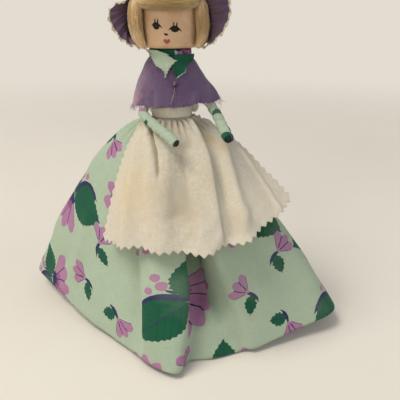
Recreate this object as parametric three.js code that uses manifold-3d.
// Cloth doll on a hidden wooden stand: painted drum head, batting hair, bonnet, scarf, shawl,
// wire arms wrapped in cloth, apron and a stiff flared skirt.
// Millimetres. Z is up, the doll faces -Y, the table is z = 0. The doll's own right is -X.
import * as THREE from "three";
import { mergeVertices } from "three/addons/utils/BufferGeometryUtils.js";
import Module from "manifold-3d";

const wasm = await Module();
wasm.setup();

// Clearances and cloth
const GAP = 0.3;
const CLOTH = 1.0;
const EASE = 0.15;

// Stand
const BASE_D = 72;
const BASE_T = 8;
const BASE_CHAMFER = 1;
const SOCKET_DEPTH = 5;
const POST_D = 10;
const POST_IN_HEAD = 14;

// Body
const WAIST_Z = 133;
const TORSO_L = 40.5;
const TORSO_BELOW_WAIST = 5;
const WAIST_D = 19;
const CHEST_D = 19.8;
const NECK_D = 17.4;
const CHEST_DROP = 22;
const NECK_DROP = 8;
const WAISTBAND_H = 6.2;
const WAISTBAND_T = 1.2;

// Head, hair and bonnet
const HEAD_D = 35;
const HEAD_H = 23;
const HEAD_FILLET = 2.5;
const HAIR_T = 4.6;
const HAIR_TOP_T = 3.4;
const HAIR_LIFT = 2;
const HAIR_ROUND = 8;
const LOCK_D = 8.6;
const LOCK_L = 16.5;
const LOCK_LIFT = 3.4;
const LOCK_ANGLE = 28;
const FRINGE_T = 5;
const FRINGE_H = 9;
const FRINGE_DROP = 2;
const FRINGE_SPAN = 92;
const BONNET_SETBACK = 4;
const BONNET_W = 63;
const BONNET_H = 30;
const EDGING_D = 1.6;

// Arms
const WIRE_D = 3.5;
const SLEEVE_D = 5.8;
const SHOULDER_DROP = 17.3;
const ELBOW_RISE = 3.8;
const FOREARM_L = 31.5;
const WIRE_SHOWS = 0.9;
const RIGHT_ELBOW_OUT = 16.5;
const RIGHT_ELBOW_FORWARD = 11;
const RIGHT_HAND_HEADING = -46;
const RIGHT_HAND_DROP = 21;
const LEFT_ELBOW_OUT = 26.5;
const LEFT_ELBOW_FORWARD = 6.5;
const LEFT_HAND_HEADING = -79;
const LEFT_HAND_DROP = 14;

// Scarf and shawl
const SCARF_T = 2.2;
const SCARF_H = 6.6;
const SCARF_DROP = 1.6;
const SHAWL_W = 47;
const SHAWL_DEPTH = 34;
const SHAWL_TOP_DROP = 5;
const SHAWL_DROP = 31.5;
const SHAWL_LEFT_FLARE = 5;
const SHAWL_SLIT = 2;
const TACK_D = 2.4;
// Scarf tails on the shawl: outer and inner direction at the neck, then at the tip
const SCARF_TAILS = { right: [-165, -92, -104, -94], left: [-88, -15, -78, -66] };

// Apron bow
const KNOT_D = 5;
const LOOP_L = 13;
const LOOP_W = 4;
const LOOP_H = 6;
const TAIL_W = 4.6;

// Skirt hem, once around: direction in degrees, then shares of the reach and of the lift
const SKIRT_REACH = 109;
const SKIRT_LIFT = 13;
const SKIRT_HEM = [
  [-150, 0.57, 0.3], [-132, 0.537, 0.23], [-112, 0.57, 0.19], [-97, 0.66, 0.3], [-87, 0.693, 0.3],
  [-81, 0.523, 0.08], [-67, 0.56, 0.08], [-50, 0.633, 0.15], [-32, 0.78, 0.54], [-15, 1, 1],
  [8, 0.88, 0.6], [35, 0.752, 0.15], [62, 0.88, 0.6], [88, 0.77, 0.15], [112, 0.89, 0.6],
  [140, 0.789, 0.15], [166, 1, 0.92], [-178, 0.752, 0.6],
];
const PUFF_FRONT = 0.75;
const PUFF_RIGHT = 0.57;
const PUFF_LEFT = 0.82;

// Apron hem from its right end to its left end: direction, then shares of the reach and of the drop
const APRON_REACH = 75;
const APRON_DROP = 67;
const APRON_HEM = [
  [-142, 0.693, 1], [-131, 0.693, 0.97], [-119, 0.747, 0.948], [-108, 0.707, 0.925], [-96, 0.76, 0.933],
  [-83, 0.76, 0.918], [-71, 0.853, 0.925], [-61, 0.813, 0.888], [-50, 0.907, 0.866], [-39, 0.893, 0.806],
  [-28, 0.947, 0.746], [-17, 1, 0.657],
];
const APRON_WAIST_FROM = -172;
const APRON_WAIST_TO = -8;

// Bonnet brim edge from the right end over the top, in shares: across of half the width, forward
// of the brim's reach, and up of the bonnet's height
const BRIM_REACH = 11;
const BRIM_LIFT = 0.6;
const BRIM_STEPS = 40;
const BRIM_EDGE = [
  [-0.54, 0.41, 0.02], [-0.73, 0.47, 0.1], [-0.9, 0.55, 0.27], [-0.99, 0.5, 0.48], [-0.97, 0.41, 0.63],
  [-0.73, 0.45, 0.76], [-0.38, 0.73, 0.9], [0, 1, 1], [0.42, 0.91, 1], [0.78, 0.64, 0.93],
  [0.99, 0.45, 0.79], [1.03, 0.45, 0.6], [0.99, 0.55, 0.42], [0.89, 0.59, 0.24], [0.75, 0.55, 0.1],
  [0.58, 0.41, 0.02],
];

// Places that follow from the sizes
const chinZ = WAIST_Z + TORSO_L;
const headR = HEAD_D / 2;
const headTop = chinZ + HEAD_H;
const sleeveR = SLEEVE_D / 2;
const wireR = WIRE_D / 2;
const shoulderZ = chinZ - SHOULDER_DROP;
const shoulderX = CHEST_D / 2 + GAP + sleeveR;
const postBottom = BASE_T - SOCKET_DEPTH + GAP;
const postTop = chinZ + POST_IN_HEAD - GAP;
const hairR = headR + GAP + HAIR_T;
const hairTop = headTop + GAP + HAIR_TOP_T;
const skirtTopR = WAIST_D / 2 + GAP + CLOTH / 2;
const bandInnerR = skirtTopR + CLOTH / 2 + GAP;
const bandOuterR = bandInnerR + WAISTBAND_T;
const bandBottom = WAIST_Z + CLOTH + 3 * GAP;
const UP = new THREE.Vector3(0, 0, 1);
const SIDEWAYS = new THREE.Vector3(1, 0, 0);

const rad = THREE.MathUtils.degToRad;
const lerp = THREE.MathUtils.lerp;
const polar = (angle, r, z) => new THREE.Vector3(r * Math.cos(angle), r * Math.sin(angle), z);

// Joins coincident points, drops empty triangles and turns the surface outwards
function closed(geometry) {
  const plain = geometry.clone();
  plain.deleteAttribute("normal");
  plain.deleteAttribute("uv");
  const merged = mergeVertices(plain, 1e-4);
  const at = merged.attributes.position;
  const kept = [];
  let volume = 0;
  const [a, b, c] = [0, 1, 2].map(() => new THREE.Vector3());
  for (let i = 0; i < merged.index.count; i += 3) {
    const [p, q, r] = [0, 1, 2].map((k) => merged.index.getX(i + k));
    if (p === q || q === r || r === p) continue;
    kept.push(p, q, r);
    a.fromBufferAttribute(at, p);
    b.fromBufferAttribute(at, q);
    c.fromBufferAttribute(at, r);
    volume += a.dot(b.cross(c));
  }
  if (volume < 0) kept.reverse();
  merged.setIndex(new THREE.BufferAttribute(new Uint32Array(kept), 1));
  return merged;
}

const body = (geometry) => new wasm.Manifold(new wasm.Mesh({
  numProp: 3,
  vertProperties: geometry.attributes.position.array,
  triVerts: geometry.index.array,
}));

function cut(geometry, ...tools) {
  let left = body(geometry);
  for (const tool of tools) left = left.subtract(body(tool));
  const mesh = left.getMesh();
  const result = new THREE.BufferGeometry();
  result.setAttribute("position", new THREE.BufferAttribute(mesh.vertProperties.slice(), 3));
  result.setIndex(new THREE.BufferAttribute(mesh.triVerts.slice(), 1));
  return result;
}

// Solid of revolution about Z from [radius, height] points
function turned(profile, sides = 32) {
  const points = profile.map(([r, z]) => new THREE.Vector2(r, z));
  return closed(new THREE.LatheGeometry(points, sides).rotateX(Math.PI / 2));
}

const box = (w, d, h, x, y, z) => closed(new THREE.BoxGeometry(w, d, h).translate(x, y, z));
const rodAlongX = (r, length) => closed(new THREE.CylinderGeometry(r, r, length, 20).rotateZ(Math.PI / 2));

// Round solid along a curve from [distance, radius] points; flat squeezes it towards the reference
function limb(curve, profile, reference = SIDEWAYS, flat = 1, sides = 12) {
  const length = curve.getLength();
  const shape = turned(profile.map(([s, r]) => [r, s]), sides);
  const at = shape.attributes.position;
  const p = new THREE.Vector3();
  for (let i = 0; i < at.count; i += 1) {
    p.fromBufferAttribute(at, i);
    const t = THREE.MathUtils.clamp(p.z / length, 0, 1);
    const along = curve.getTangentAt(t);
    const side = new THREE.Vector3().crossVectors(along, reference).normalize();
    const rise = new THREE.Vector3().crossVectors(side, along);
    const centre = curve.getPointAt(t).addScaledVector(along, p.z - t * length);
    centre.addScaledVector(side, p.x * flat).addScaledVector(rise, p.y);
    at.setXYZ(i, centre.x, centre.y, centre.z);
  }
  return closed(shape);
}

// Unit normal of a surface point(u, v)
function facing(point, u, v) {
  const step = 1e-3;
  const du = point(u + step, v).sub(point(u - step, v));
  const dv = point(u, v + step).sub(point(u, v - step));
  return du.cross(dv).normalize();
}

const even = (count) => Array.from({ length: count + 1 }, (_, i) => i / count);

// Cloth of even thickness on the surface point(u, v), with a row of points at each v;
// ring says that u closes on itself
function sheet(point, across, rows, ring = false) {
  const down = rows.length - 1;
  const columns = ring ? across : across + 1;
  const at = [];
  for (let side = 0; side < 2; side += 1) {
    for (let i = 0; i < columns; i += 1) {
      for (let j = 0; j <= down; j += 1) {
        const [u, v] = [i / across, rows[j]];
        const away = facing(point, u, v).multiplyScalar((side - 0.5) * CLOTH);
        at.push(...point(u, v).add(away).toArray());
      }
    }
  }
  const index = [];
  const id = (side, i, j) => (side * columns + (i % columns)) * (down + 1) + j;
  const quad = (a, b, c, d) => index.push(a, b, c, a, c, d);
  for (let i = 0; i < across; i += 1) {
    for (let j = 0; j < down; j += 1) {
      quad(id(1, i, j), id(1, i + 1, j), id(1, i + 1, j + 1), id(1, i, j + 1));
      quad(id(0, i, j), id(0, i, j + 1), id(0, i + 1, j + 1), id(0, i + 1, j));
    }
    quad(id(0, i, 0), id(0, i + 1, 0), id(1, i + 1, 0), id(1, i, 0));
    quad(id(0, i, down), id(1, i, down), id(1, i + 1, down), id(0, i + 1, down));
  }
  for (let j = 0; j < down && !ring; j += 1) {
    quad(id(0, 0, j), id(1, 0, j), id(1, 0, j + 1), id(0, 0, j + 1));
    quad(id(0, across, j), id(0, across, j + 1), id(1, across, j + 1), id(1, across, j));
  }
  const geometry = new THREE.BufferGeometry();
  geometry.setAttribute("position", new THREE.Float32BufferAttribute(at, 3));
  geometry.setIndex(index);
  return closed(geometry);
}

// Materials
const COLOURS = {
  mint_print: 0xb4c6ae, purple_cloth: 0x6a5676, cream_linen: 0xdccdae, skin_paint: 0xc8a484,
  batting: 0xb3925f, cream_trim: 0xe2d8c2, dark_wire: 0x241c22, pine: 0xc7a26c, calico: 0xcdbd9d,
  maroon_thread: 0x4a2029,
};
const doll = new THREE.Group();
doll.name = "cloth_doll";

function piece(name, slot, geometry, parent = doll) {
  const material = new THREE.MeshStandardMaterial({ color: COLOURS[slot], roughness: 0.9 });
  material.name = slot;
  const mesh = new THREE.Mesh(geometry, material);
  mesh.name = name;
  parent.add(mesh);
}

// Stand, torso and shoulder wire
function stand() {
  const [socketR, floor] = [POST_D / 2 + GAP, BASE_T - SOCKET_DEPTH];
  const edge = BASE_D / 2;
  piece("base_disc", "pine", turned([
    [0, floor], [socketR, floor], [socketR, BASE_T], [edge - BASE_CHAMFER, BASE_T],
    [edge, BASE_T - BASE_CHAMFER], [edge, 0], [0, 0],
  ], 48));
  const crossBore = rodAlongX(wireR + GAP, WAIST_D * 2).translate(0, 0, shoulderZ);
  const post = turned([[0, postBottom], [POST_D / 2, postBottom], [POST_D / 2, postTop], [0, postTop]]);
  piece("post", "pine", cut(post, crossBore));
  const [inner, bottom, top] = [POST_D / 2 + GAP, WAIST_Z - TORSO_BELOW_WAIST, chinZ - GAP];
  const torso = turned([
    [inner, bottom], [WAIST_D / 2 - 1, bottom], [WAIST_D / 2, bottom + 1], [WAIST_D / 2, WAIST_Z],
    [WAIST_D / 2, bandBottom + WAISTBAND_H], [CHEST_D / 2, chinZ - CHEST_DROP],
    [NECK_D / 2, chinZ - NECK_DROP], [NECK_D / 2, top - 1], [NECK_D / 2 - 1, top], [inner, top],
    [inner, bottom],
  ]);
  piece("torso_roll", "calico", cut(torso, crossBore));
  const wire = rodAlongX(wireR, 2 * (shoulderX - sleeveR - GAP)).translate(0, 0, shoulderZ);
  piece("shoulder_wire", "dark_wire", wire);
}

// Arms: a sleeve with a ball at its upper joint, and the wire inside it
function arm(side, out, elbowOut, elbowForward, heading, drop) {
  const shoulder = new THREE.Group();
  shoulder.name = `${side}_shoulder`;
  shoulder.position.set(out * shoulderX, 0, shoulderZ);
  doll.add(shoulder);
  const elbow = new THREE.Group();
  elbow.name = `${side}_elbow`;
  elbow.position.set(out * elbowOut, -elbowForward, WAIST_Z + ELBOW_RISE).sub(shoulder.position);
  shoulder.add(elbow);
  const origin = new THREE.Vector3();
  const upper = new THREE.LineCurve3(origin, elbow.position.clone());
  const upperL = upper.getLength();
  const wireTip = upperL - sleeveR - GAP;
  const sleeveEnd = upperL - sleeveR * 1.55;
  const ballStart = [[-sleeveR, 0], [-sleeveR * 0.8, sleeveR * 0.6], [-sleeveR * 0.4, sleeveR * 0.92]];
  const boreStart = sleeveR;
  const bore = (curve, end) => limb(curve, [
    [boreStart - GAP, 0], [boreStart - GAP, wireR + GAP], [end, wireR + GAP], [end, 0],
  ]);
  const upperSleeve = limb(upper, [
    ...ballStart, [0, sleeveR], [upperL * 0.3, sleeveR * 1.03], [sleeveEnd - 0.6, sleeveR * 0.97],
    [sleeveEnd, sleeveR * 0.85], [sleeveEnd, 0],
  ]);
  piece(`${side}_upper_sleeve`, "mint_print", cut(upperSleeve, bore(upper, upperL)), shoulder);
  const rounded = [0.95, 0.75, 0.4].map((k) => [wireTip - wireR * (1 - Math.sqrt(1 - k * k)), wireR * k]);
  piece(`${side}_upper_arm_wire`, "dark_wire", limb(upper, [
    [boreStart, 0], [boreStart, wireR], [wireTip - wireR, wireR], ...rounded, [wireTip, 0],
  ]), shoulder);
  const reach = polar(rad(heading), FOREARM_L * Math.cos(rad(drop)), -FOREARM_L * Math.sin(rad(drop)));
  const fore = new THREE.LineCurve3(origin, reach);
  const foreSleeve = limb(fore, [
    ...ballStart, [0, sleeveR], [FOREARM_L * 0.4, sleeveR * 1.02], [FOREARM_L - 0.6, sleeveR * 0.95],
    [FOREARM_L, sleeveR * 0.85], [FOREARM_L, 0],
  ]);
  const openEnd = FOREARM_L + 1;
  piece(`${side}_forearm_sleeve`, "mint_print", cut(foreSleeve, bore(fore, openEnd)), elbow);
  const tip = FOREARM_L + WIRE_SHOWS;
  piece(`${side}_forearm_wire`, "dark_wire", limb(fore, [
    [boreStart, 0], [boreStart, wireR], [tip - 0.4, wireR], [tip, wireR - 0.4], [tip, 0],
  ]), elbow);
}

// Skirt: hem folds that fade out towards the waist
const skirtHem = new THREE.CatmullRomCurve3(SKIRT_HEM.map(([angle, out, up]) => (
  polar(rad(angle), out * SKIRT_REACH, up * SKIRT_LIFT)
)), true, "centripetal");
skirtHem.arcLengthDivisions = 720;

const SKIRT_COLLAR = 0.04;
const skirtRows = [0, ...even(8).map((t) => lerp(SKIRT_COLLAR, 1, t))];

// How fast the gathers swell below the waist: the smaller the number, the fuller
const puff = (angle) => lerp(
  PUFF_FRONT, Math.cos(angle) < 0 ? PUFF_RIGHT : PUFF_LEFT, Math.cos(angle) ** 2,
);

function skirtPoint(u, v) {
  const hem = skirtHem.getPointAt(((u % 1) + 1) % 1);
  const angle = Math.atan2(hem.y, hem.x);
  if (v < SKIRT_COLLAR) return polar(angle, skirtTopR, WAIST_Z + WAISTBAND_H * (1 - v / SKIRT_COLLAR));
  const down = ((v - SKIRT_COLLAR) / (1 - SKIRT_COLLAR)) ** 1.3;
  const r = lerp(skirtTopR, Math.hypot(hem.x, hem.y), down ** puff(angle));
  return polar(angle, r, lerp(WAIST_Z, hem.z, down));
}

// Apron: gathered under its band, flaring clear of the skirt
const apronHem = new THREE.CatmullRomCurve3(APRON_HEM.map(([angle, out, down]) => (
  polar(rad(angle), out * APRON_REACH, WAIST_Z - down * APRON_DROP)
)), false, "centripetal");

function apronPoint(u, v) {
  const hem = apronHem.getPointAt(THREE.MathUtils.clamp(u, 0, 1));
  const down = Math.max(v, 0) ** 1.3;
  const start = rad(lerp(APRON_WAIST_FROM, APRON_WAIST_TO, u));
  const angle = lerp(start, Math.atan2(hem.y, hem.x), Math.min(1, Math.max(v, 0) ** 0.6));
  const topR = (bandInnerR + bandOuterR) / 2;
  const r = lerp(topR, Math.hypot(hem.x, hem.y), down ** puff(angle));
  return polar(angle, r, lerp(bandBottom - GAP - CLOTH / 2, hem.z, down));
}

function apron() {
  piece("skirt", "mint_print", sheet(skirtPoint, 60, skirtRows, true));
  piece("apron_panel", "cream_linen", sheet(apronPoint, 34, even(8)));
  const top = bandBottom + WAISTBAND_H;
  piece("apron_waistband", "cream_linen", turned([
    [bandInnerR, bandBottom], [bandOuterR, bandBottom], [bandOuterR, top], [bandInnerR, top],
    [bandInnerR, bandBottom],
  ]));
}

// Bow at the back of the apron band
function bow() {
  const z = bandBottom + WAISTBAND_H / 2;
  const knotR = KNOT_D / 2;
  const y = bandOuterR + GAP + knotR;
  const knot = new THREE.SphereGeometry(knotR, 14, 9).translate(0, y, z);
  piece("apron_bow_knot", "cream_linen", closed(knot));
  for (const [side, out] of [["right", -1], ["left", 1]]) {
    const centre = out * (knotR + GAP + CLOTH / 2 + LOOP_L / 2);
    const loop = (u, v) => new THREE.Vector3(
      centre + (LOOP_L / 2) * Math.cos(2 * Math.PI * u),
      y + (LOOP_W / 2) * Math.sin(2 * Math.PI * u),
      z + LOOP_H * (v - 0.5),
    );
    piece(`apron_bow_loop_${side}`, "cream_linen", sheet(loop, 20, even(2), true));
    const tail = (u, v) => tailPoint(out, u, v);
    piece(`apron_tie_tail_${side}`, "cream_linen", sheet(tail, 3, even(8)));
  }
}

// Point on the skirt by direction instead of by length of hem
function skirtTowards(angle, v) {
  let [low, high] = [0, 1];
  const first = Math.atan2(skirtHem.getPointAt(0).y, skirtHem.getPointAt(0).x);
  const turn = (a) => (((a - first) % (2 * Math.PI)) + 2 * Math.PI) % (2 * Math.PI);
  for (let i = 0; i < 30; i += 1) {
    const middle = (low + high) / 2;
    const hem = skirtHem.getPointAt(middle);
    if (turn(Math.atan2(hem.y, hem.x)) < turn(angle)) low = middle;
    else high = middle;
  }
  return skirtPoint(low, v);
}

function tailPoint(out, u, v) {
  const along = lerp(0.12, 0.42, v);
  const middle = rad(90) - out * rad(lerp(16, 13, v));
  const reach = skirtTowards(middle, along);
  const angle = middle - (TAIL_W / Math.hypot(reach.x, reach.y)) * (u - 0.5);
  const away = facing(skirtTowards, angle, along);
  if (away.z < 0) away.negate();
  return skirtTowards(angle, along).addScaledVector(away, CLOTH + GAP + EASE);
}

// Shawl: a cape that leaves the neck, lies over the shoulders and flares
const shawlNeckR = NECK_D / 2 + GAP + CLOTH / 2 + EASE;
const SHAWL_ROWS = [
  [0, 0, 0], [0.16, 0.05, 0.04], [0.28, 0.44, 0.43], [0.55, 0.73, 0.71], [0.79, 0.89, 0.88], [1, 1, 1],
].map(([down, across, deep]) => new THREE.Vector3(
  lerp(SHAWL_TOP_DROP, SHAWL_DROP, down),
  lerp(shawlNeckR, SHAWL_W / 2, across),
  lerp(shawlNeckR, SHAWL_DEPTH / 2, deep),
));
const shawlRows = new THREE.CatmullRomCurve3(SHAWL_ROWS, false, "centripetal");

function shawlTowards(angle, v) {
  const row = shawlRows.getPointAt(THREE.MathUtils.clamp(v, 0, 1));
  const flare = SHAWL_LEFT_FLARE * Math.max(0, Math.cos(angle)) ** 2 * v ** 2;
  const r = 1 / Math.hypot(Math.cos(angle) / (row.y + flare), Math.sin(angle) / row.z);
  return polar(angle, r, chinZ - row.x + flare * 0.5);
}

function shawl() {
  const half = rad(SHAWL_SLIT);
  const cape = (u, v) => shawlTowards(-Math.PI / 2 - half - u * (2 * Math.PI - 2 * half), v);
  piece("shawl", "purple_cloth", sheet(cape, 40, even(8)));
  const over = (angle, v, lift) => {
    const away = facing(shawlTowards, angle, v);
    if (away.dot(polar(angle, 1, 0.2)) < 0) away.negate();
    return shawlTowards(angle, v).addScaledVector(away, lift);
  };
  const tackAt = over(rad(-86), 0.64, CLOTH / 2 + GAP + TACK_D / 2);
  const tack = new THREE.SphereGeometry(TACK_D / 2, 10, 7).translate(...tackAt.toArray());
  piece("shawl_tack", "maroon_thread", closed(tack));
  const bandR = shawlNeckR + CLOTH / 2 + 2 * GAP + EASE + SCARF_T / 2;
  const ring = [];
  for (let i = 0; i <= 12; i += 1) {
    const a = (i / 12) * 2 * Math.PI;
    ring.push([bandR + (SCARF_T / 2) * Math.cos(a), chinZ - SCARF_DROP - (SCARF_H / 2) * (1 - Math.sin(a))]);
  }
  piece("scarf_collar", "mint_print", turned(ring, 28));
  for (const [side, [outer, inner, tipOuter, tipInner]] of Object.entries(SCARF_TAILS)) {
    const tail = (u, v) => over(
      rad(lerp(lerp(outer, inner, u), lerp(tipOuter, tipInner, u), v)),
      lerp(0.3, 0.53, v),
      CLOTH + GAP + EASE,
    );
    piece(`scarf_tail_${side}`, "mint_print", sheet(tail, 8, even(6)));
  }
}

// Rounded shoulder between the side and the top of the hair and of the crown
const domed = (r, top) => [0, 30, 60, 90].map((a) => [
  r - HAIR_ROUND * (1 - Math.cos(rad(a))), top - HAIR_ROUND * (1 - Math.sin(rad(a))),
]);

// Head and hair
function head() {
  const f = HEAD_FILLET;
  const corner = (z, dir) => even(4).map((t) => [
    headR - f + f * Math.sin((t * Math.PI) / 2), z + dir * f * (1 - Math.cos((t * Math.PI) / 2)),
  ]);
  const boreR = POST_D / 2 + GAP;
  const boreTop = chinZ + POST_IN_HEAD;
  piece("head", "skin_paint", turned([
    [0, boreTop], [boreR, boreTop], [boreR, chinZ], ...corner(chinZ, 1),
    ...corner(headTop, -1).reverse(), [0, headTop],
  ], 40));
  const bottom = chinZ + HAIR_LIFT;
  const headRoom = turned([[0, 0], [headR + GAP, 0], [headR + GAP, headTop + GAP], [0, headTop + GAP]], 40);
  const far = 2 * hairR;
  const front = (y, top) => box(2 * far, far, 2 * far, 0, -far / 2 - y, top - far);
  const full = turned([[0, bottom], [hairR, bottom], ...domed(hairR, hairTop), [0, hairTop]], 40);
  piece("hair_back", "batting", cut(
    full, headRoom, front(BONNET_SETBACK, headTop + GAP), front(headR * 0.6, hairTop + far),
  ));
  const crownR = hairR + GAP + CLOTH;
  const [crownTop, innerR, innerTop] = [hairTop + GAP + CLOTH, hairR + GAP, hairTop + GAP];
  const crown = turned([
    [innerR, bottom], [crownR, bottom], ...domed(crownR, crownTop), [0, crownTop], [0, innerTop],
    ...domed(innerR, innerTop).reverse(), [innerR, bottom],
  ], 40);
  piece("bonnet_crown", "purple_cloth", cut(crown, front(BONNET_SETBACK, hairTop + far)));
  const lockR = LOCK_D / 2;
  const lockZ = chinZ + LOCK_LIFT;
  for (const [side, out] of [["right", -1], ["left", 1]]) {
    const at = polar(rad(-LOCK_ANGLE), headR + GAP + lockR, lockZ);
    at.x *= out;
    const lock = turned([
      [0, 0], [lockR * 0.55, LOCK_L * 0.05], [lockR * 0.9, LOCK_L * 0.25], [lockR, LOCK_L * 0.55],
      [lockR * 0.9, LOCK_L * 0.85], [lockR * 0.55, LOCK_L * 0.97], [0, LOCK_L],
    ], 16).translate(...at.toArray());
    piece(`hair_lock_${side}`, "batting", lock);
  }
  const fringeR = headR + GAP + FRINGE_T / 2;
  const fringeZ = headTop - FRINGE_DROP;
  const arc = [];
  for (let i = 0; i <= 8; i += 1) {
    arc.push(polar(rad(-90 + FRINGE_SPAN * (i / 8 - 0.5)), fringeR, fringeZ));
  }
  const fringe = new THREE.CatmullRomCurve3(arc);
  const L = fringe.getLength();
  piece("hair_fringe", "batting", limb(fringe, [
    [0, 0], [L * 0.03, FRINGE_H * 0.25], [L * 0.15, FRINGE_H * 0.44], ...[0.35, 0.5, 0.65].map((t) => [
      L * t, FRINGE_H / 2,
    ]), [L * 0.85, FRINGE_H * 0.44], [L * 0.97, FRINGE_H * 0.25], [L, 0],
  ], UP, FRINGE_T / FRINGE_H, 14));
}

// Bonnet brim from the front of the crown to a ruffled edge, with its trim
function bonnet() {
  const middleR = hairR + GAP + CLOTH / 2;
  const top = hairTop + GAP + CLOTH / 2;
  const low = chinZ + HAIR_LIFT;
  const y = -BONNET_SETBACK - GAP - CLOTH / 2;
  const upSide = [[middleR, low], [middleR, lerp(low, top, 0.3)], ...domed(middleR, top)];
  const side = (out) => upSide.map(([r, z]) => new THREE.Vector3(
    out * Math.sqrt(r ** 2 - BONNET_SETBACK ** 2), y, z,
  ));
  const rim = new THREE.CatmullRomCurve3([...side(-1), new THREE.Vector3(0, y, top), ...side(1).reverse()]);
  const edge = new THREE.CatmullRomCurve3(BRIM_EDGE.map(([across, forward, up]) => new THREE.Vector3(
    (across * BONNET_W) / 2, y - forward * BRIM_REACH, chinZ + BRIM_LIFT + up * BONNET_H,
  )));
  const clampT = (u) => THREE.MathUtils.clamp(u, 0, 1);
  const brim = (u, v) => rim.getPointAt(clampT(u)).lerp(edge.getPointAt(clampT(u)), v);
  piece("bonnet_brim", "purple_cloth", sheet(brim, BRIM_STEPS, even(4)));
  const beyond = even(BRIM_STEPS).map((t) => {
    const out = edge.getPointAt(t);
    const away = out.clone().sub(rim.getPointAt(t)).normalize();
    return out.addScaledVector(away, EDGING_D / 2 + GAP + 3 * EASE);
  });
  const trim = new THREE.CatmullRomCurve3(beyond);
  const L = trim.getLength();
  const steps = even(BRIM_STEPS).map((t) => [L * t, EDGING_D / 2]);
  const forward = new THREE.Vector3(0, 1, 0);
  piece("bonnet_edging", "cream_trim", limb(trim, [[0, 0], ...steps, [L, 0]], forward, 1, 6));
}

stand();
arm("right", -1, RIGHT_ELBOW_OUT, RIGHT_ELBOW_FORWARD, RIGHT_HAND_HEADING, RIGHT_HAND_DROP);
arm("left", 1, LEFT_ELBOW_OUT, LEFT_ELBOW_FORWARD, LEFT_HAND_HEADING, LEFT_HAND_DROP);
apron();
bow();
shawl();
head();
bonnet();

export default doll;
